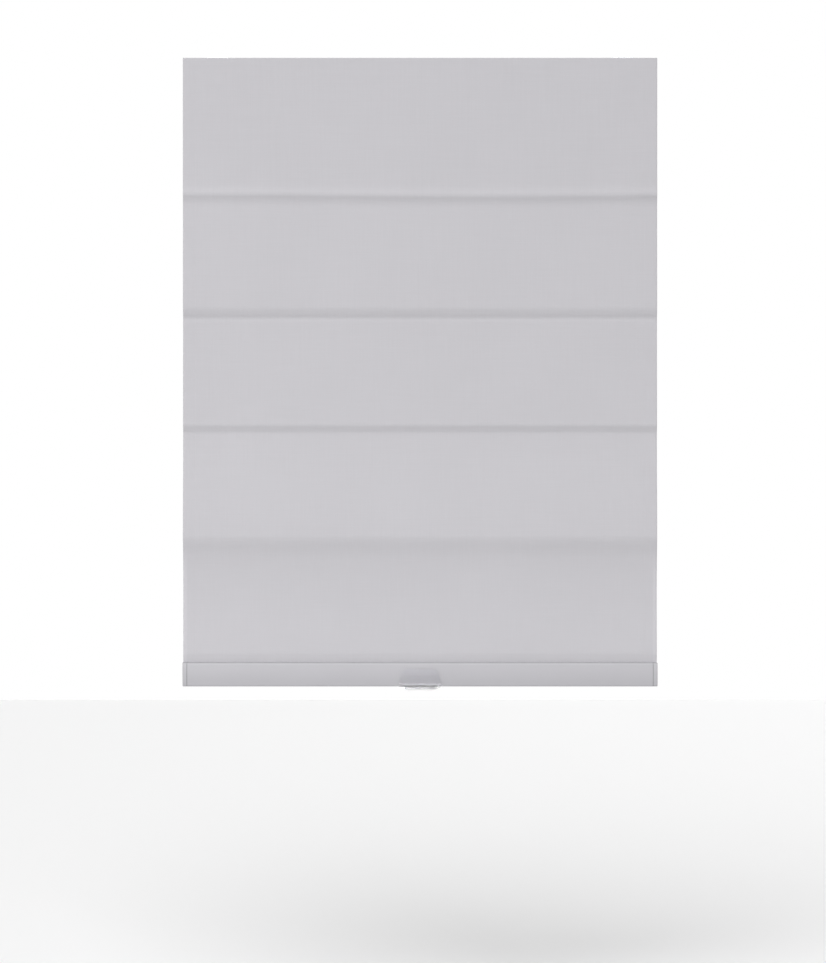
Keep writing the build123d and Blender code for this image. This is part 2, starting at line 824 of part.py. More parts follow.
with BuildPart() as groove_spline:
    with BuildSketch(Plane.YZ):
        with Locations((spline_y, spline_z)):
            Circle(spline_radius)
    extrude(amount=rail_length / 2, both=True)
groove_spline.part.label = "groove_spline"
export_step(groove_spline.part, "parts/groove_spline.step")

with BuildPart() as ballast_bar:
    with BuildSketch(Plane.YZ):
        with Locations(((rail_front_y + rail_back_y) / 2, rail_bottom + rail_wall)):
            Rectangle(ballast_width, ballast_thickness, align=(Align.CENTER, Align.MIN))
    extrude(amount=rail_length / 2 - ballast_end_gap, both=True)
    with BuildSketch(Plane.XY.offset(rail_bottom + rail_wall)):
        with Locations(*screw_points):
            Circle(handle_screw_radius)
    extrude(amount=ballast_thickness, mode=Mode.SUBTRACT)
ballast_bar.part.label = "ballast_bar"
export_step(ballast_bar.part, "parts/ballast_bar.step")

for side, sign in sides:
    with BuildPart() as cord_plug:
        with BuildSketch(Plane.XY.offset(rail_top)):
            with Locations((sign * cord_x, cord_y)):
                Circle(plug_flange_radius)
        extrude(amount=plug_flange)
        with BuildSketch(Plane.XY.offset(rail_top)):
            with Locations((sign * cord_x, cord_y)):
                Circle(plug_radius)
        extrude(amount=-plug_length)
        with BuildSketch(Plane.XY.offset(rail_top + plug_flange)):
            with Locations((sign * cord_x, cord_y)):
                Circle(cord_radius + loose_gap)
        extrude(amount=-plug_flange - plug_length, mode=Mode.SUBTRACT)
    cord_plug.part.label = f"cord_plug_{side}"
    export_step(cord_plug.part, f"parts/cord_plug_{side}.step")

for side, sign in sides:
    with BuildPart() as cord_stop:
        with BuildSketch(Plane.XY.offset(rail_top + stop_lift)):
            with Locations((sign * cord_x, cord_y)):
                Circle(stop_radius)
                Circle(cord_radius + stop_bore_clearance, mode=Mode.SUBTRACT)
        extrude(amount=stop_height)
        rims = cord_stop.edges().filter_by(GeomType.CIRCLE).sort_by(SortBy.RADIUS)[-2:]
        fillet(rims, stop_height / 3)
    cord_stop.part.label = f"cord_stop_{side}"
    export_step(cord_stop.part, f"parts/cord_stop_{side}.step")


# Lift handle: a clear shell round the rail's front and bottom that bends forward into a finger ledge

handle_top = rail_bottom + handle_height
handle_front = rail_front_y - rail_bulge - handle_gap - handle_thickness
foot_top = rail_bottom - handle_gap
foot_bottom = foot_top - handle_thickness
ledge_root_y = rail_front_y + rail_front_corner
ledge_top = foot_top + ledge_bend
ledge_tip_y = handle_front - ledge_reach
ledge_tip_z = foot_bottom - ledge_drop
outline_low = ledge_tip_z - handle_thickness

with BuildPart() as lift_handle:
    with BuildSketch(Plane.YZ) as handle_section:
        add(rail_shape(handle_gap + handle_thickness))
        add(rail_shape(handle_gap), mode=Mode.SUBTRACT)
        with Locations((rail_front_y + handle_foot, rail_top)):
            Rectangle(shade_width, 2 * rail_height, align=(Align.MIN, Align.CENTER), mode=Mode.SUBTRACT)
        with BuildLine():
            TangentArc(
                (handle_front, ledge_top), (handle_front - ledge_bend, foot_top), tangent=(0, -1)
            )
            Polyline(
                (handle_front - ledge_bend, foot_top),
                (ledge_tip_y, ledge_tip_z + handle_thickness),
                (ledge_tip_y, ledge_tip_z),
                (ledge_root_y, foot_bottom),
                (ledge_root_y, foot_top),
                (handle_front + handle_thickness, foot_top),
                (handle_front + handle_thickness, ledge_top),
                (handle_front, ledge_top),
            )
        make_face()
        fillet(handle_section.vertices().group_by(Axis.X)[0], ledge_tip_round)
    extrude(amount=handle_width / 2, both=True)
    with BuildSketch(Plane.XZ) as front_outline:
        with BuildLine():
            Polyline(
                (-handle_top_width / 2, handle_top),
                (handle_top_width / 2, handle_top),
                (handle_width / 2, foot_top),
                (ledge_tip_width / 2, outline_low),
                (-ledge_tip_width / 2, outline_low),
                (-handle_width / 2, foot_top),
                close=True,
            )
        make_face()
        fillet(front_outline.vertices(), handle_corner)
    extrude(amount=shade_width, both=True, mode=Mode.INTERSECT)
    with BuildSketch(Plane.XY.offset(rail_bottom)) as plan_outline:
        with BuildLine():
            Polyline(
                (-ledge_tip_width / 2, ledge_tip_y),
                (ledge_tip_width / 2, ledge_tip_y),
                (handle_width / 2, handle_front),
                (handle_width / 2, rail_back_y),
                (-handle_width / 2, rail_back_y),
                (-handle_width / 2, handle_front),
                close=True,
            )
        make_face()
        fillet(plan_outline.vertices().group_by(Axis.Y)[0], handle_corner)
    extrude(amount=rail_height, both=True, mode=Mode.INTERSECT)
    with BuildSketch(Plane.XY.offset(foot_top)):
        with Locations(*screw_points):
            Circle(handle_screw_radius)
    extrude(amount=-handle_thickness, mode=Mode.SUBTRACT)
lift_handle.part.label = "lift_handle"
export_step(lift_handle.part, "parts/lift_handle.step")

with BuildPart() as handle_screws:
    with BuildSketch(Plane.XY.offset(foot_bottom)):
        with Locations(*screw_points):
            Circle(handle_screw_radius)
    extrude(amount=handle_thickness + handle_gap + rail_wall + ballast_thickness)
    with BuildSketch(Plane.XY.offset(foot_bottom)):
        with Locations(*screw_points):
            Circle(handle_screw_head_radius)
    extrude(amount=-handle_screw_head)
handle_screws.part.label = "handle_screws"
export_step(handle_screws.part, "parts/handle_screws.step")
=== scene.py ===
# %% [markdown]
# # A cordless roman blind
# The blind hangs from two brackets and is fully lowered. Its headrail, rail, ribs and fittings come
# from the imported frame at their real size. This script adds what the frame leaves plain: the sewn
# cloth, its stitching, the braided lift cords, the finishes, and the studio. Everything is in metres,
# with +Z up and the front of the cloth facing -Y.

# %% Load the frame
import json
import math

import bpy
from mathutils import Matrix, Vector, noise


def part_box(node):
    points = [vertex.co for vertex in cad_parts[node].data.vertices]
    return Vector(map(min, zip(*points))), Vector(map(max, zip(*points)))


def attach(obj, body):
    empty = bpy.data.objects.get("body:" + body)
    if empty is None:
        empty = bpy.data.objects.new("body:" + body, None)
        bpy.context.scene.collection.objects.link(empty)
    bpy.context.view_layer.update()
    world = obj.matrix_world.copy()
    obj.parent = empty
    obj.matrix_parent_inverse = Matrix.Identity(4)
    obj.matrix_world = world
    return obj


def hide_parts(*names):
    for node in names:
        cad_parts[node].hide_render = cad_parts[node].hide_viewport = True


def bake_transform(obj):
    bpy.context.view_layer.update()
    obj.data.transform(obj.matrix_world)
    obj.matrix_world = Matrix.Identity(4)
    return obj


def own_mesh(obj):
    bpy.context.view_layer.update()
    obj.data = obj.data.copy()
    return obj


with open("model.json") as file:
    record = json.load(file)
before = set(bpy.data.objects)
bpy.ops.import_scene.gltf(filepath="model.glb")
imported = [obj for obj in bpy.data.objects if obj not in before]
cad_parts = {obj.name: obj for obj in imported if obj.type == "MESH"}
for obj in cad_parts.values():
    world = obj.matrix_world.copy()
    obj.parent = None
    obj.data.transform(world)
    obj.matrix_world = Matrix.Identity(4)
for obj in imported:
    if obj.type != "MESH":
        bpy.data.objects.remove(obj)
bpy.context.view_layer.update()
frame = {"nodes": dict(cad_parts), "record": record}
nodes = frame["nodes"]

# %% [markdown]
# ## Sizes
# The frame says where every rib, ring and rail is, so the levels of the seams and the depth of each
# panel are read from it. Only the sizes of the cloth itself are written here.

# %% Read the sizes that the cloth is made to
MM = 0.001
SEAMS = 4
PANELS = SEAMS + 1
SIDES = (("left", -1), ("right", 1))

cloth_thickness = 0.8 * MM
pocket_web = 2.0 * MM
pocket_wall = 0.8 * MM
pocket_play = 0.3 * MM
SPLINE_PLAY = 0.1 * MM
panel_stagger = 2.4 * MM
hem_width = 25.0 * MM


def middle(node):
    """The centre of a frame node's box."""
    low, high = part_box(node)
    return (low + high) / 2


cloth_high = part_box("shade_fabric")[1]
half_width = cloth_high.x
cloth_top = cloth_high.z
rail_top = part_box("bottom_rail")[1].z
tip_low, tip_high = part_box("rib_1_tips")
pocket_inner = (tip_high.z - tip_low.z) / 2 + pocket_play
pocket_outer = pocket_inner + pocket_wall
rib_centre = [middle(f"rib_{k + 1}") for k in range(SEAMS)]
seam_z = [centre.z for centre in rib_centre]
first_face = rib_centre[0].y - pocket_outer - pocket_web - cloth_thickness - panel_stagger
face_y = [first_face + k * panel_stagger for k in range(PANELS)]
panel_top = [cloth_top] + seam_z
panel_bottom = seam_z + [rail_top]
print("seams at", [round(z, 4) for z in seam_z], "panel faces at", [round(y, 4) for y in face_y])

# %% [markdown]
# ## Camera
# The photo looks straight at the blind from far off, so a long lens stands level in front of it. The
# picture is 826 by 963 pixels and one pixel covers 1.823 mm of the cloth, which sets the field of
# view; the pixel of the cloth's middle sets where the camera stands.

# %% Place the camera
PICTURE_HEIGHT = 963
METRES_PER_PIXEL = 1.823 * MM
CAMERA_DISTANCE = 4.6
SENSOR_HEIGHT = 24.0
CAMERA_X = -0.0128
CAMERA_Z = -0.7735

camera_data = bpy.data.cameras.new("photo_camera")
camera_data.sensor_fit = "VERTICAL"
camera_data.sensor_height = SENSOR_HEIGHT
camera_data.lens = SENSOR_HEIGHT * CAMERA_DISTANCE / (PICTURE_HEIGHT * METRES_PER_PIXEL)
camera = bpy.data.objects.new("photo_camera", camera_data)
bpy.context.scene.collection.objects.link(camera)
camera.location = (CAMERA_X, face_y[2] - CAMERA_DISTANCE, CAMERA_Z)
camera.rotation_euler = (math.radians(90), 0, 0)
bpy.context.scene.camera = camera
print("lens", round(camera_data.lens, 1), "mm")

# %% [markdown]
# ## Shader sums
# A material's pattern is arithmetic on positions. Wrapping a socket in a small class lets that
# arithmetic be written as Python sums, and each sum adds its Math node. Every other node comes from
# one method that sets the node up and joins its sockets.

# %% Define the socket wrapper and the material maker
LEAN_START = 0.1
LEAN_FULL = 0.65


class Link:
    """A node's output that can be used in sums."""

    def __init__(self, finish, socket):
        self.finish = finish
        self.socket = socket

    def math(self, operation, first, second=0.0):
        return self.finish.node("ShaderNodeMath", {"operation": operation}, {0: first, 1: second})

    def __add__(self, other):
        return self.math("ADD", self, other)

    def __radd__(self, other):
        return self.math("ADD", other, self)

    def __sub__(self, other):
        return self.math("SUBTRACT", self, other)

    def __rsub__(self, other):
        return self.math("SUBTRACT", other, self)

    def __mul__(self, other):
        return self.math("MULTIPLY", self, other)

    def __rmul__(self, other):
        return self.math("MULTIPLY", other, self)

    def sine(self):
        return self.math("SINE", self)

    def size(self):
        return self.math("ABSOLUTE", self)


class Finish:
    """A material and the nodes that paint it."""

    def __init__(self, name, **constants):
        self.material = bpy.data.materials.new(name)
        self.material.use_nodes = True
        self.tree = self.material.node_tree
        self.shader = self.tree.nodes["Principled BSDF"]
        for socket, value in constants.items():
            self.shader.inputs[socket.replace("_", " ")].default_value = value

    def node(self, kind, settings=None, sockets=None, output=0):
        made = self.tree.nodes.new(kind)
        for name, value in (settings or {}).items():
            setattr(made, name, value)
        for key, value in (sockets or {}).items():
            if isinstance(value, Link):
                self.tree.links.new(value.socket, made.inputs[key])
            else:
                made.inputs[key].default_value = value
        return Link(self, made.outputs[output])

    def paint(self, socket, value):
        self.tree.links.new(value.socket, self.shader.inputs[socket])

    def place(self):
        """The surface's x, y and z in the frame."""
        where = self.node("ShaderNodeTexCoord", output=3)
        split = self.node("ShaderNodeSeparateXYZ", sockets={0: where})
        outputs = split.socket.node.outputs
        return where, [Link(self, outputs[i]) for i in range(3)]

    def blotches(self, where, stretch, detail=2.0):
        """Soft noise from 0 to 1, with its spots per metre along x, y and z."""
        scaled = self.node(
            "ShaderNodeVectorMath", {"operation": "MULTIPLY"}, {0: where, 1: stretch}
        )
        return self.node(
            "ShaderNodeTexNoise", sockets={"Vector": scaled, "Scale": 1.0, "Detail": detail}
        )

    def tint(self, amount, dark, light):
        """A colour between two, by a value from 0 to 1."""
        return self.node(
            "ShaderNodeMix",
            {"data_type": "RGBA"},
            {"Factor": amount, 6: self.solid(dark), 7: self.solid(light)},
            output=2,
        )

    def ramp(self, value, start, end):
        """From 0 where the value is start to 1 where it is end."""
        return self.node("ShaderNodeMapRange", sockets={"Value": value, "From Min": start, "From Max": end})

    def solid(self, colour):
        return colour if isinstance(colour, Link) else (*colour, 1.0)

    def upward(self):
        """From 0 on a wall to 1 on a face that leans back by 40 degrees, where the rail's painted shade goes.
        """
        normal = self.node("ShaderNodeNewGeometry", output=1)
        split = self.node("ShaderNodeSeparateXYZ", sockets={0: normal})
        up = Link(self, split.socket.node.outputs[2])
        return self.ramp(up, LEAN_START, LEAN_FULL)

    def relief(self, height, depth, strength=1.0):
        """A Bump node from a height of 0 to 1 that stands for this depth."""
        bump = self.node(
            "ShaderNodeBump", sockets={"Strength": strength, "Distance": depth, "Height": height}
        )
        self.paint("Normal", bump)


# %% [markdown]
# ## Cloth finish
# The cloth is a plain-woven polyester with uneven yarns. The weave could be an image, but a product
# of two sine waves, one along the width and one along the height, gives the over and under of each
# crossing at any distance. Long thin noise along each yarn direction gives the slubs. The side edges
# of the lowest panel are painted a shade lighter, a painted highlight of the hem's folded edge.

# %% Make the cloth finish
CLOTH_COLOUR = (0.585, 0.575, 0.603)
YARN_PITCH = 0.7 * MM
YARN_DEPTH = 0.25 * MM
CROSSING_SHARE = 0.35
ALONG_WEFT = (14.0, 200.0, 900.0)
ALONG_WARP = (900.0, 200.0, 14.0)
BROAD_PATCH = (5.0, 5.0, 5.0)
SLUB_SHARE = 0.7
TONE_SPREAD = 0.07
EDGE_HIGHLIGHT_WIDTH = 8.0 * MM
EDGE_HIGHLIGHT_BLUR = 2.0 * MM
EDGE_HIGHLIGHT_TONE = 1.05
LOWEST_BLUR = 60.0 * MM


def shaded(colour, share):
    return tuple(channel * share for channel in colour)


def make_cloth():
    cloth = Finish(
        "woven_cloth", Roughness=0.88, Sheen_Weight=0.12, Sheen_Roughness=0.5, Specular_IOR_Level=0.25
    )
    where, (x, y, z) = cloth.place()
    across = x * (math.pi / YARN_PITCH)
    along = (z - y) * (math.pi / YARN_PITCH)
    crossing = across.sine() * along.sine()
    slub = (cloth.blotches(where, ALONG_WEFT) + cloth.blotches(where, ALONG_WARP)) * 0.5
    tone = slub * SLUB_SHARE + cloth.blotches(where, BROAD_PATCH) * (1 - SLUB_SHARE)
    woven = cloth.tint(tone, shaded(CLOTH_COLOUR, 1 - TONE_SPREAD), shaded(CLOTH_COLOUR, 1 + TONE_SPREAD))
    # Painted highlight: the side edges of the lowest panel are painted a shade lighter.
    inner_line = half_width - EDGE_HIGHLIGHT_WIDTH
    edge_highlight = cloth.ramp(x.size(), inner_line, inner_line + EDGE_HIGHLIGHT_BLUR)
    lowest = cloth.ramp(z, seam_z[-1], seam_z[-1] - LOWEST_BLUR)
    cloth.paint("Base Color", cloth.tint(edge_highlight * lowest, woven, shaded(CLOTH_COLOUR, EDGE_HIGHLIGHT_TONE)))
    cloth.relief(crossing * CROSSING_SHARE + slub, YARN_DEPTH, 0.55)
    return cloth.material


cloth_finish = make_cloth()
print("cloth weave pitch", YARN_PITCH)

# %% [markdown]
# ## Moulded, painted and metal finishes
# The white rail and headrail have a satin paint with a faint orange peel, the mouldings a finer
# grain, and the steel a brushed or zinc-plated surface. One function covers them, because they
# differ only in colour, gloss, grain size and depth. On the rail, faces that turn up are painted
# darker as painted shade, and a thin painted shadow line runs where each end cap meets it.

# %% Make the hard finishes


BROAD_TONE = (9.0, 9.0, 9.0)
GLOSS_SPREAD = 0.12
TOP_SHADE_SPREAD = 0.05
JOINT_WIDTH = 0.9 * MM
JOINT_SHADE = 0.55
rail_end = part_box("bottom_rail")[1].x


def hard_finish(name, colour, roughness, grain, depth, metallic=0.0, variation=0.03, top_shade=1.0):
    """A hard surface. Given a top shade under 1 it is the rail's, with painted shade on its upward faces and
    a painted shadow line at each cap joint.
    """
    finish = Finish(name, Metallic=metallic)
    where, (x, _, _) = finish.place()
    fine = finish.blotches(where, grain)
    broad = finish.blotches(where, BROAD_TONE, detail=3.0)
    tone = finish.tint(broad, shaded(colour, 1 - variation), shaded(colour, 1 + variation))
    if top_shade < 1:
        # Painted shade: faces that turn up are painted darker.
        top_shade_tone = finish.tint(fine, shaded(colour, top_shade - TOP_SHADE_SPREAD), shaded(colour, top_shade + TOP_SHADE_SPREAD))
        tone = finish.tint(finish.upward(), tone, top_shade_tone)
        # Painted shadow: a thin dark line where each end cap meets the rail, as if a gap were there.
        joint_shadow = finish.ramp((x.size() - rail_end).size(), JOINT_WIDTH, JOINT_WIDTH / 2)
        tone = finish.tint(joint_shadow, tone, shaded(colour, JOINT_SHADE))
    finish.paint("Base Color", tone)
    finish.paint("Roughness", fine * GLOSS_SPREAD + (roughness - GLOSS_SPREAD / 2))
    finish.relief(fine, depth, 0.4)
    return finish.material


ORANGE_PEEL = (900.0, 900.0, 900.0)
DRAWN_ALONG = (40.0, 4000.0, 4000.0)
MOULDED = (2500.0, 2500.0, 2500.0)
rail_finish = hard_finish("satin_rail", (0.505, 0.498, 0.525), 0.42, ORANGE_PEEL, 0.05 * MM, top_shade=0.72)
enamel = hard_finish("white_enamel", (0.72, 0.72, 0.72), 0.38, ORANGE_PEEL, 0.04 * MM)
moulding = hard_finish("white_moulding", (0.70, 0.70, 0.69), 0.45, MOULDED, 0.03 * MM)
acetal = hard_finish("natural_acetal", (0.62, 0.62, 0.60), 0.35, MOULDED, 0.02 * MM)
zinc = hard_finish("zinc_plate", (0.62, 0.63, 0.65), 0.36, MOULDED, 0.03 * MM, metallic=1.0)
drawn_steel = hard_finish("drawn_steel", (0.50, 0.50, 0.52), 0.32, DRAWN_ALONG, 0.02 * MM, metallic=1.0)
glass_fibre = hard_finish("glass_fibre", (0.66, 0.67, 0.60), 0.4, DRAWN_ALONG, 0.04 * MM)
nylon = hard_finish("ring_nylon", (0.66, 0.67, 0.67), 0.3, MOULDED, 0.02 * MM)
tape = hard_finish("fastener_tape", (0.70, 0.70, 0.70), 0.9, (1400.0, 1400.0, 1400.0), 0.5 * MM)

# %% [markdown]
# The lift handle is clear polycarbonate. With transmission alone the rail behind it gets no direct
# light and turns dark, because a path tracer hardly finds the light through two faces. An alpha a
# little under one lets some of it through, and transmission keeps the bent light of the edges.

# %% Make the clear plastic
CLEAR_ALPHA = 0.78
MOULD_RIPPLE = (160.0, 160.0, 160.0)
RIPPLE_DEPTH = 0.1 * MM


def make_clear():
    clear = Finish("clear_plastic", IOR=1.49, Transmission_Weight=1.0, Alpha=CLEAR_ALPHA)
    where, _ = clear.place()
    ripple = clear.blotches(where, MOULD_RIPPLE)
    clear.paint("Base Color", clear.tint(ripple, (0.93, 0.93, 0.95), (0.99, 0.99, 1.0)))
    clear.paint("Roughness", ripple * 0.05 + 0.04)
    clear.relief(ripple, RIPPLE_DEPTH, 0.3)
    return clear.material


clear_plastic = make_clear()

# %% [markdown]
# The sewing thread and the lift cords are twisted yarns. A slanting wave gives the ply and a fine
# noise the fuzz, which is enough at their size.

# %% Make the thread finishes
THREAD_PLY = 0.5 * MM
THREAD_DEPTH = 0.08 * MM
FUZZ = (3000.0, 3000.0, 3000.0)


def make_thread(name, colour):
    thread = Finish(name, Roughness=0.7, Sheen_Weight=0.2)
    where, (x, _, z) = thread.place()
    ply = ((x + z) * (2 * math.pi / THREAD_PLY)).sine() * 0.5 + 0.5
    fuzz = thread.blotches(where, FUZZ)
    thread.paint("Base Color", thread.tint(fuzz, shaded(colour, 0.88), shaded(colour, 1.06)))
    thread.relief(ply, THREAD_DEPTH, 0.5)
    return thread.material


sewing_thread = make_thread("sewing_thread", (0.62, 0.61, 0.63))
cord_yarn = make_thread("cord_yarn", (0.74, 0.74, 0.72))
print("finishes:", len(bpy.data.materials))

# %% [markdown]
# ## Mesh helpers
# Cloth, pockets, threads and cords are all the same kind of shape: a closed outline carried along a
# line. One helper joins such outlines into a skin and closes its two ends.

# %% Join outlines into skins


def new_piece(name, points, faces, material, smooth_angle=40.0):
    mesh = bpy.data.meshes.new(name)
    mesh.from_pydata([tuple(p) for p in points], [], faces)
    mesh.validate()
    mesh.materials.append(material)
    piece = bpy.data.objects.new(name, mesh)
    bpy.context.scene.collection.objects.link(piece)
    mesh.shade_smooth()
    mesh.set_sharp_from_angle(angle=math.radians(smooth_angle))
    return piece


def skin(outlines, first=0, closed_ends=True, strip=False):
    """Faces that join equal outlines one after another; a strip closes its ends across its thickness."""
    count = len(outlines[0])
    faces = []
    for row in range(len(outlines) - 1):
        here = first + row * count
        for i in range(count):
            j = (i + 1) % count
            faces.append((here + i, here + j, here + count + j, here + count + i))
    for row, turn in ((0, -1), (len(outlines) - 1, 1)) if closed_ends else ():
        base = first + row * count
        if strip:
            for i in range(count // 2 - 1):
                quad = (base + i, base + i + 1, base + count - 2 - i, base + count - 1 - i)
                faces.append(quad[::turn])
        else:
            faces.append(tuple(range(base, base + count))[::turn])
    return faces


# %% [markdown]
# ## Cloth panels
# Each panel hangs from the seam above and turns back into the seam below. It is made as a sheet of
# real thickness with its side hems folded behind, rather than a flat plane, so that its edges and
# seams catch the light as cloth does. The photo shows four different seams: the first bulges and
# drops back, the second pinches in, the third steps back, and the last is soft. How bright the cloth
# is follows from how steeply it leans, so each seam is drawn as a few leans, and its depth is what
# they add up to. Between two seams the panel swings forward again by what the seams took back.

# %% Shape the front line of a panel
# Millimetres above the seam, and how far the cloth runs back there for each length down.
SEAM_LEANS = [
    [(24, 0), (11, -0.14), (6, 0), (1, 0.25), (-1, 0.27), (-5, 0.2), (-11, 0.09), (-17, 0)],
    [
        (17, 0), (12.5, 0.13), (8, 0.19), (4, 0.22), (0.5, 0.3),
        (-3, 0.16), (-6.5, -0.03), (-8.5, -0.08), (-12, 0),
    ],
    [(9.5, 0), (6, 0.16), (3.5, 0.27), (-4, 0.25), (-7, 0.08), (-11, 0)],
    [(14, 0), (9, 0.1), (3, 0.15), (-6, 0.19), (-18, 0.15), (-26, 0.1), (-60, 0.04), (-120, 0)],
]
HEM_LEANS = [(110, 0), (60, -0.02), (19, -0.02), (16, 0.03), (12.5, 0.12), (8, 0.13), (4, 0.17), (0, 0.23)]
FIRST_SEAM_SAG = 2.8 * MM
SAG_MIDDLE = 0.09
SAG_REACH = 0.42
SAG_HEIGHT = 0.035
FINE_STEPS = [0.0, 0.4, 0.9, 1.5, 2.2, 3.0, 4.0, 5.2, 6.6, 8.2, 10.0, 12.0, 14.5, 17.5, 21.0, 25.0]
COARSE_STEP = 5.0 * MM
WAVE_HEIGHT = 0.5 * MM
WAVES_ACROSS = 5.0
WAVES_DOWN = 3.0
WAVE_SEED = 7.3
PUCKER_HEIGHT = 0.16 * MM
PUCKER_REACH = 14.0 * MM
PUCKER_START = 2.0 * MM
PUCKER_LENGTH = 8.5 * MM
PUCKERS_DOWN = 30.0
PUCKER_SEED = 3.7


def run_back(leans, height):
    """How far the cloth has run back by a height above its seam."""
    total = 0.0
    for (high, lean_high), (low, lean_low) in zip(leans, leans[1:]):
        high, low = high * MM, low * MM
        if height >= high:
            break
        down = min(high - height, high - low)
        lean_here = lean_high + (lean_low - lean_high) * down / (high - low)
        total += down * (lean_high + lean_here) / 2
    return total


def ease(t):
    """From 0 to 1, slow at both ends."""
    t = min(max(t, 0.0), 1.0)
    return t * t * (3 - 2 * t)


seam_depth = [run_back(leans, leans[-1][0] * MM) for leans in SEAM_LEANS]
seam_crease = [run_back(SEAM_LEANS[k], 0.0) - seam_depth[k] for k in range(SEAMS)]
swing = [panel_stagger - depth for depth in seam_depth] + [-run_back(HEM_LEANS, 0.0)]
print("the seams take back", [round(depth, 4) for depth in seam_depth])


def sagged(x, z):
    """The height that the cloth at x and z would have if its first seam didn't sag in the middle."""
    along = max(0.0, 1 - ((x - SAG_MIDDLE) / SAG_REACH) ** 2) ** 2
    near = math.exp(-(((z - seam_z[0]) / SAG_HEIGHT) ** 2))
    return z + FIRST_SEAM_SAG * along * near


def front_depth(k, z):
    """The y of panel k's front line at a height."""
    depth = face_y[k] + swing[k] * ease((panel_top[k] - z) / (panel_top[k] - panel_bottom[k]))
    if k > 0:
        depth += run_back(SEAM_LEANS[k - 1], z - panel_top[k]) - seam_depth[k - 1]
    return depth + run_back(SEAM_LEANS[k] if k < SEAMS else HEM_LEANS, z - panel_bottom[k])


def levels(k):
    """Heights of the rows of panel k, close together near its seams."""
    top, bottom = panel_top[k], panel_bottom[k]
    near = [step * MM for step in FINE_STEPS]
    span = top - bottom - 2 * near[-1]
    count = round(span / COARSE_STEP)
    between = [top - near[-1] - span * i / count for i in range(1, count)]
    return [top - step for step in near] + between + [bottom + step for step in reversed(near)]


def ripple(k, x, z):
    """How far the hanging cloth wanders from flat: slow waves and the puckers that sewing leaves."""
    top, bottom = panel_top[k], panel_bottom[k]
    below = (top - z) / (top - bottom)
    slow = noise.noise(Vector((x * WAVES_ACROSS, z * WAVES_DOWN, WAVE_SEED))) * math.sin(math.pi * below) ** 2
    edge = min(top - z if k else 1.0, z - bottom if k < SEAMS else 1.0)
    tight = max(0.0, 1 - edge / PUCKER_REACH) * min(1.0, edge / PUCKER_START)
    pucker = noise.noise(Vector((x / PUCKER_LENGTH, k * PUCKER_SEED, z * PUCKERS_DOWN))) * tight
    return slow * WAVE_HEIGHT + pucker * PUCKER_HEIGHT


# %% [markdown]
# The hem at each side is the cloth turned over and sewn down, so the sheet is two layers thick there
# and its edge is a round fold. The columns of the mesh are set close together at that fold and at
# the hem's raw edge.

# %% Lay the panels
HEM_COLUMNS = [0.0, 0.25, 0.8, 4.0, 10.0, 16.0, 22.0, 24.7, 25.3, 30.0]
COLUMN_STEP = 6.0 * MM
HEM_FOOT_GAP = 5.0 * MM
MOST_ROUNDING = 0.9


def columns():
    """The x of every column, with its distance from the nearer side."""
    near = [step * MM for step in HEM_COLUMNS]
    span = 2 * (half_width - near[-1])
    count = round(span / COLUMN_STEP)
    inner = [-half_width + near[-1] + span * i / count for i in range(1, count)]
    xs = [-half_width + d for d in near] + inner + [half_width - d for d in reversed(near)]
    return [(x, half_width - abs(x)) for x in xs]


def layer_offsets(k, from_side, z):
    """How far the front and back skins lie behind the front line."""
    hem_ends = rail_top + HEM_FOOT_GAP
    hemmed = from_side < hem_width and z > hem_ends
    thick = 2 * cloth_thickness if hemmed else cloth_thickness
    radius = thick / 2
    if from_side >= radius:
        return 0.0, thick
    rounding = radius - math.sqrt(max(radius**2 - (radius - from_side) ** 2, 0.0))
    rounding = min(rounding, MOST_ROUNDING * radius)
    return rounding, thick - rounding


def panel_outline(k, x, from_side, rows):
    front, back = [], []
    for z in rows:
        depth = front_depth(k, sagged(x, z)) + ripple(k, x, z)
        near, far = layer_offsets(k, from_side, z)
        front.append((x, depth + near, z))
        back.append((x, depth + far, z))
    return front + back[::-1]


def line_length(k):
    points = [Vector((front_depth(k, z), z)) for z in levels(k)]
    return sum((b - a).length for a, b in zip(points, points[1:]))


chain = ["headrail", "first_rib", "second_rib", "third_rib", "fourth_rib", "bottom"]
panels = []
for k in range(PANELS):
    rows = levels(k)
    outlines = [panel_outline(k, x, side, rows) for x, side in columns()]
    points = [p for outline in outlines for p in outline]
    panel = new_piece(f"cloth_panel_{k + 1}", points, skin(outlines, strip=True), cloth_finish)
    panels.append(panel)
    print(panel.name, len(panel.data.polygons), "faces, cut length", round(line_length(k), 4))

# %% [markdown]
# ## Sewn sleeves
# Behind each seam the cloth is tucked into a tube that holds a rib, and its bottom edge is a smaller
# tube round the spline in the rail's groove. Both are a sleeve with a web: one outline carried across
# the width, open at both ends so that the rod's ends show.

# %% Sew the rod pockets
SLEEVE_SIDES = 28
WEB_END_GAP = 0.3 * MM


def sleeve_outlines(x, centre, inner_radius, outer_radius, toward, reach, half_web):
    """The outer and inner outline of a sleeve at x. Its web runs from the tube out to reach."""
    web = Vector((0, *toward))
    side = Vector((0, toward[1], -toward[0]))
    middle_line = Vector((x, centre.y, centre.z))
    opening = math.asin(half_web / outer_radius)
    outer, inner = [], []
    for i in range(SLEEVE_SIDES + 1):
        angle = opening + (2 * math.pi - 2 * opening) * i / SLEEVE_SIDES
        out = web * math.cos(angle) + side * math.sin(angle)
        outer.append(middle_line + out * outer_radius)
        inner.append(middle_line + out * inner_radius)
    for line, distance, half in ((outer, reach, half_web), (inner, inner_radius, half_web / 2)):
        line.append(middle_line + web * distance - side * half)
        line.append(middle_line + web * distance + side * half)
    return outer, inner


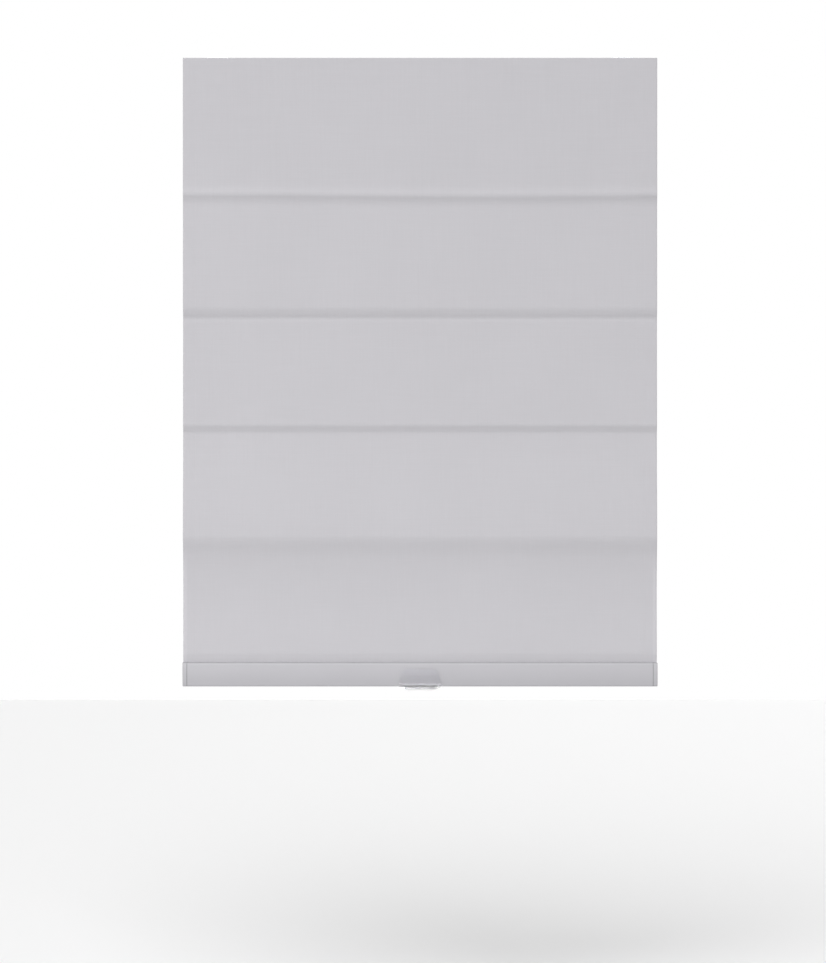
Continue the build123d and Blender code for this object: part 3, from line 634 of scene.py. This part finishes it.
def sleeve_piece(name, xs, *shape):
    pairs = [sleeve_outlines(x, *shape) for x in xs]
    outer = [pair[0] for pair in pairs]
    inner = [pair[1] for pair in pairs]
    count = len(outer[0])
    shift = len(outer) * count
    faces = skin(outer, closed_ends=False)
    faces += [face[::-1] for face in skin(inner, first=shift, closed_ends=False)]
    for row, turn in ((0, -1), (len(outer) - 1, 1)):
        for i in range(count):
            a, b = row * count + i, row * count + (i + 1) % count
            faces.append((a, b, shift + b, shift + a)[::turn])
    points = [p for line in outer + inner for p in line]
    return new_piece(name, points, faces, cloth_finish, 60.0)


pocket_xs = [x for x, side in columns()][::2] + [half_width]
FRONT = (-1, 0)
UP = (0, 1)
pockets = []
for k, centre in enumerate(rib_centre):
    reach = centre.y - (face_y[k + 1] + seam_crease[k] + WEB_END_GAP)
    shape = (centre, pocket_inner, pocket_outer, FRONT, reach, cloth_thickness)
    pockets.append(sleeve_piece(f"rod_pocket_{k + 1}", pocket_xs, *shape))
print("pockets:", [p.name for p in pockets])

# %% Sew the hem that the spline holds
spline_low, spline_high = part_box("groove_spline")
spline_centre = (spline_low + spline_high) / 2
groove_inner = (spline_high.y - spline_low.y) / 2 + SPLINE_PLAY
groove_outer = groove_inner + cloth_thickness
groove_reach = rail_top + SPLINE_PLAY - spline_centre.z
groove_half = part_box("bottom_rail")[1].x - SPLINE_PLAY
groove_xs = [x for x in pocket_xs if abs(x) < groove_half]
groove_xs = [-groove_half] + groove_xs + [groove_half]
groove_shape = (spline_centre, groove_inner, groove_outer, UP, groove_reach, cloth_thickness / 2)
groove_hem = sleeve_piece("groove_hem", groove_xs, *groove_shape)
print(groove_hem.name, "round a spline at", round(spline_centre.z, 4))

# %% [markdown]
# ## Stitching
# A lockstitch is a row of short threads that dip into the cloth at both ends. Each stitch is a small
# bowed tube; a row of them is joined into one mesh, because thousands of objects would be slow.

# %% Sew the stitches
STITCH_PITCH = 3.4 * MM
STITCH_LENGTH = 2.7 * MM
THREAD_RADIUS = 0.17 * MM
STITCH_SIDES = 6
STITCH_STEPS = 4
STITCH_BOW = 1.6
STITCH_SINK = 0.9
STITCH_END = 0.55
ROW_FROM_RAW_EDGE = 2.5 * MM
ROW_TOP_GAP = 3.0 * MM
ROW_FOOT_GAP = 8.0 * MM


def stitch(points, faces, start, along, out):
    """Adds one stitch from a point, along a unit direction, bowed out of the cloth."""
    across = along.cross(out)
    rings = []
    for step in range(STITCH_STEPS + 1):
        t = step / STITCH_STEPS
        swell = math.sin(math.pi * t)
        lift = THREAD_RADIUS * (STITCH_BOW * swell - STITCH_SINK)
        radius = THREAD_RADIUS * (STITCH_END + (1 - STITCH_END) * swell)
        centre = start + along * (STITCH_LENGTH * t) + out * lift
        ring = []
        for i in range(STITCH_SIDES):
            angle = 2 * math.pi * i / STITCH_SIDES
            ring.append(centre + across * (radius * math.cos(angle)) + out * (radius * math.sin(angle)))
        rings.append(ring)
    faces += skin(rings, first=len(points))
    points += [p for ring in rings for p in ring]


def hem_stitches(k):
    """The rows that hold both hems of panel k, on its front and its back."""
    points, faces = [], []
    row_inset = hem_width - ROW_FROM_RAW_EDGE
    top, bottom = panel_top[k] - ROW_TOP_GAP, panel_bottom[k] + ROW_FOOT_GAP
    count = int((top - bottom) / STITCH_PITCH)
    for _, sign in SIDES:
        x = sign * (half_width - row_inset)
        for i in range(count):
            z = top - i * STITCH_PITCH
            lower = z - STITCH_LENGTH
            here = front_depth(k, sagged(x, z)) + ripple(k, x, z)
            there = front_depth(k, sagged(x, lower)) + ripple(k, x, lower)
            along = Vector((0, there - here, lower - z)).normalized()
            for offset, facing in ((0.0, -1), (2 * cloth_thickness, 1)):
                stitch(points, faces, Vector((x, here + offset, z)), along, Vector((0, facing, 0)))
    return points, faces


stitch_rows = []
for k in range(PANELS):
    points, faces = hem_stitches(k)
    stitch_rows.append(new_piece(f"hem_stitches_{k + 1}", points, faces, sewing_thread, 80.0))
print("stitches:", sum(len(row.data.polygons) for row in stitch_rows), "faces")


# %% [markdown]
# The pocket's web is sewn through as well, with one row along its top and one below.

# %% Sew the pocket webs
WEB_ROW_INSET = 1.2 * MM


def web_stitches(k):
    points, faces = [], []
    centre = rib_centre[k]
    y = face_y[k + 1] + cloth_thickness + WEB_ROW_INSET
    count = int(2 * half_width / STITCH_PITCH) - 2
    for facing in (-1, 1):
        for i in range(count):
            start = Vector((-half_width + (i + 1) * STITCH_PITCH, y, centre.z + facing * cloth_thickness))
            stitch(points, faces, start, Vector((1, 0, 0)), Vector((0, 0, facing)))
    return points, faces


web_rows = []
for k in range(SEAMS):
    points, faces = web_stitches(k)
    web_rows.append(new_piece(f"pocket_stitches_{k + 1}", points, faces, sewing_thread, 80.0))

# %% [markdown]
# Each panel and its hem stitches stay where they are made, with their place baked into the mesh, and
# the frame's plain cloth is hidden. Each pocket and its web stitches are attached to the body of its
# rib, and the groove hem to the bottom rail's body.

# %% Attach the cloth to the ribs
for k, panel in enumerate(panels):
    for piece in (panel, stitch_rows[k]):
        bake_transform(piece)
    line_length(k)
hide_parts("shade_fabric")

for k, pocket in enumerate(pockets):
    body = chain[k + 1]
    for piece in (pocket, web_rows[k]):
        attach(piece, body)
    tube_length = math.pi * (pocket_outer + pocket_inner) + 2 * (pocket_web + pocket_play)

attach(groove_hem, "bottom")
print("cloth attached")

# %% [markdown]
# ## Lift cords
# The cords are braided polyester. Four strands twisted round one another read as a cord at this
# size, and stay light. The cord is taut from the spool to the bottom rail, so it is straight. On the
# real blind it winds onto the spool as the blind is raised; here it is one fixed piece on the headrail.

# %% Twist the lift cords
STRANDS = 4
STRAND_SIDES = 6
TWIST_PITCH = 5.0 * MM
TWIST_STEPS = 8
TURNS_KEPT = 2
STEPS_A_TURN = 72
CORD_END_DEPTH = 5.5 * MM
cord_radius = 0.6 * MM
strand_radius = 0.29 * MM
strand_orbit = cord_radius - strand_radius
winding_step = 2.2 * cord_radius
spool_centre = middle("cord_spool_right")
ring_ys = [middle(f"cord_ring_{k + 1}_right").y for k in range(SEAMS)]
cord_y = (ring_ys[0] + ring_ys[-1]) / 2
cord_foot = rail_top - CORD_END_DEPTH


def twisted_cord(route):
    """Strands wound round a route, which is a list of a centre and its two cross directions."""
    points, faces = [], []
    for strand in range(STRANDS):
        rings = []
        for step, (centre, right, up) in enumerate(route):
            turn = 2 * math.pi * (step / TWIST_STEPS + strand / STRANDS)
            core = centre + right * (strand_orbit * math.cos(turn)) + up * (strand_orbit * math.sin(turn))
            ring = []
            for i in range(STRAND_SIDES):
                angle = 2 * math.pi * i / STRAND_SIDES
                ring.append(
                    core + right * (strand_radius * math.cos(angle)) + up * (strand_radius * math.sin(angle))
                )
            rings.append(ring)
        faces += skin(rings, first=len(points))
        points += [p for ring in rings for p in ring]
    return points, faces


def straight_route(x):
    step = TWIST_PITCH / TWIST_STEPS
    count = int((spool_centre.z - cord_foot) / step)
    right, up = Vector((1, 0, 0)), Vector((0, 1, 0))
    return [(Vector((x, cord_y, spool_centre.z - i * step)), right, up) for i in range(count + 1)]


def wound_route(x, sign):
    """The turns that stay on the spool when the blind is down."""
    radius = spool_centre.y - cord_y
    route = []
    for i in range(TURNS_KEPT * STEPS_A_TURN + 1):
        angle = math.pi + 2 * math.pi * i / STEPS_A_TURN
        out = Vector((0, math.cos(angle), math.sin(angle)))
        centre = Vector((x + sign * winding_step * i / STEPS_A_TURN, 0, 0))
        centre += Vector((0, spool_centre.y, spool_centre.z)) + out * radius
        route.append((centre, Vector((1, 0, 0)), out))
    return route


cord_x = spool_centre.x
for side, sign in SIDES:
    points, faces = twisted_cord(straight_route(sign * cord_x))
    lift_cord = new_piece(f"braided_cord_{side}", points, faces, cord_yarn, 80.0)
    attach(lift_cord, "headrail")
    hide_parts(f"lift_cord_{side}")
    points, faces = twisted_cord(wound_route(sign * cord_x, sign))
    winding = new_piece(f"cord_winding_{side}", points, faces, cord_yarn, 80.0)
    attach(winding, "shaft")
    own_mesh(lift_cord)

# %% [markdown]
# ## Ring tacks
# Each ring is sewn to its pocket with a few turns of thread. They are small loops that go through
# the ring and into the cloth, side by side.

# %% Tack the rings
TACKS = 5
TACK_SPREAD = 3.2 * MM
TACK_STEPS = 20
TACK_DEPTH_PLAY = 0.35 * MM
TACK_STRETCH = 1.15
TACK_HEIGHT_PLAY = 0.28 * MM


def tack_loops(k, x):
    """Loops that hold the ring's front wire to the back of the pocket."""
    points, faces = [], []
    ring_low, ring_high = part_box(f"cord_ring_{k + 1}_right")
    wire = (ring_high.z - ring_low.z) / 2
    contact = (rib_centre[k].y + pocket_outer + ring_low.y) / 2
    half_depth = TACK_STRETCH * (2 * wire + TACK_DEPTH_PLAY) / 2
    for tack in range(TACKS):
        offset = (tack / (TACKS - 1) - 0.5) * TACK_SPREAD
        bend = offset**2 / (ring_high.x - ring_low.x)
        outline = []
        for step in range(TACK_STEPS):
            angle = 2 * math.pi * step / TACK_STEPS
            y = contact + bend + wire + half_depth * math.cos(angle)
            z = rib_centre[k].z + (wire + TACK_HEIGHT_PLAY) * math.sin(angle)
            core = Vector((x + offset, y, z))
            radial = Vector((0, math.cos(angle), math.sin(angle)))
            ring = []
            for i in range(STITCH_SIDES):
                around = 2 * math.pi * i / STITCH_SIDES
                ring.append(
                    core
                    + radial * (THREAD_RADIUS * math.cos(around))
                    + Vector((THREAD_RADIUS * math.sin(around), 0, 0))
                )
            outline.append(ring)
        first = len(points)
        count = STITCH_SIDES
        faces += skin(outline + [outline[0]], first=first, closed_ends=False)[: TACK_STEPS * count]
        wrap = TACK_STEPS * count
        faces[-count:] = [
            tuple(first + (index - first) % wrap for index in face) for face in faces[-count:]
        ]
        points += [p for ring in outline for p in ring]
    return points, faces


for k in range(SEAMS):
    for side, sign in SIDES:
        points, faces = tack_loops(k, sign * cord_x)
        tack = new_piece(f"ring_tack_{k + 1}_{side}", points, faces, sewing_thread, 80.0)
        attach(tack, chain[k + 1])
print("tacked", SEAMS * len(SIDES), "rings")

# %% [markdown]
# ## Finishes of the frame's own pieces
# The rigid pieces have their real shape already, so each only gets its finish. The finish follows
# from the record's material slot of the node.

# %% Dress the rigid pieces
finish_of_slot = {
    "fastener_tape": tape,
    "white_enamel": enamel,
    "white_rail": rail_finish,
    "white_plastic": moulding,
    "acetal": acetal,
    "fibreglass": glass_fibre,
    "rib_tip_plastic": moulding,
    "ring_plastic": nylon,
    "clear_plastic": clear_plastic,
    "zinc_plated_steel": zinc,
    "spring_steel": drawn_steel,
}
for row in frame["record"]["subparts"]:
    node = nodes[row["node"]]
    finish = finish_of_slot.get(row["material_slot"])
    if finish is None:
        continue
    node.data.materials.clear()
    node.data.materials.append(finish)
for side, _ in SIDES:
    nodes[f"rail_end_cap_{side}"].data.materials[0] = rail_finish
print("dressed", len(nodes), "nodes")

# %% [markdown]
# ## Studio
# The blind hangs free over a pale floor, in front of nothing. The photo shows the same brightness
# from the top of the cloth to the bottom, with soft shadows under its seams, so the main light comes
# from above and from far away. A sun lamp with a wide angle does that: it is a broad, even light
# that doesn't fade down the cloth or pool on the floor. A second one behind lights the back, and a
# soft lamp at the front left makes the cloth a shade lighter on that side.

# %% Set the floor, lamps and world
FLOOR_Z = -1.78
FLOOR_SIZE = 14.0
FLOOR_COLOUR = (0.90, 0.90, 0.90)
FLOOR_BOUNCE = (0.38, 0.38, 0.38)
SUNS = (
    ("high_sun", (-0.7, -3.0, 2.4), 2.53, 50.0),
    ("back_sun", (1.2, 3.0, 1.2), 2.2, 40.0),
)
SOFT_PLACE = (-1.8, -2.6, -0.5)
SOFT_TARGET = (0.0, 0.0, -0.6)
SOFT_SIZE = 1.6
SOFT_POWER = 12.0

floor_mesh = bpy.data.meshes.new("floor")
half_floor = FLOOR_SIZE / 2
floor_corners = [(x * half_floor, y * half_floor, FLOOR_Z) for x, y in ((-1, -1), (1, -1), (1, 1), (-1, 1))]
floor_mesh.from_pydata(floor_corners, [], [(0, 1, 2, 3)])
floor = bpy.data.objects.new("floor", floor_mesh)
bpy.context.scene.collection.objects.link(floor)

floor_finish = Finish("pale_floor", Roughness=0.9)
to_camera = floor_finish.node("ShaderNodeLightPath")
floor_finish.paint("Base Color", floor_finish.tint(to_camera, FLOOR_BOUNCE, FLOOR_COLOUR))
floor_mesh.materials.append(floor_finish.material)


def place_lamp(name, kind, place, target, power):
    lamp_data = bpy.data.lights.new(name, kind)
    lamp_data.energy = power
    lamp = bpy.data.objects.new(name, lamp_data)
    bpy.context.scene.collection.objects.link(lamp)
    lamp.location = place
    lamp.rotation_euler = (Vector(target) - Vector(place)).to_track_quat("-Z", "Y").to_euler()
    return lamp_data


for name, place, strength, angle in SUNS:
    sun = place_lamp(name, "SUN", place, (0.0, 0.0, 0.0), strength)
    sun.angle = math.radians(angle)
soft_lamp = place_lamp("soft_lamp", "AREA", SOFT_PLACE, SOFT_TARGET, SOFT_POWER)
soft_lamp.shape = "SQUARE"
soft_lamp.size = SOFT_SIZE

WORLD_LIGHT = 0.19
world = bpy.data.worlds.new("studio")
bpy.context.scene.world = world
world.use_nodes = True
background = world.node_tree.nodes["Background"]
rays = world.node_tree.nodes.new("ShaderNodeLightPath")
lit = world.node_tree.nodes.new("ShaderNodeMapRange")
lit.inputs["To Min"].default_value = WORLD_LIGHT
lit.inputs["To Max"].default_value = 1.0
seen = rays.outputs["Is Camera Ray"]
for other in ("Is Glossy Ray", "Is Transmission Ray"):
    either = world.node_tree.nodes.new("ShaderNodeMath")
    either.operation = "MAXIMUM"
    world.node_tree.links.new(seen, either.inputs[0])
    world.node_tree.links.new(rays.outputs[other], either.inputs[1])
    seen = either.outputs[0]
world.node_tree.links.new(seen, lit.inputs["Value"])
world.node_tree.links.new(lit.outputs["Result"], background.inputs["Strength"])
background.inputs["Color"].default_value = (1.0, 1.0, 1.0, 1.0)
bpy.context.scene.view_settings.view_transform = "Standard"
print("suns:", [sun[0] for sun in SUNS])
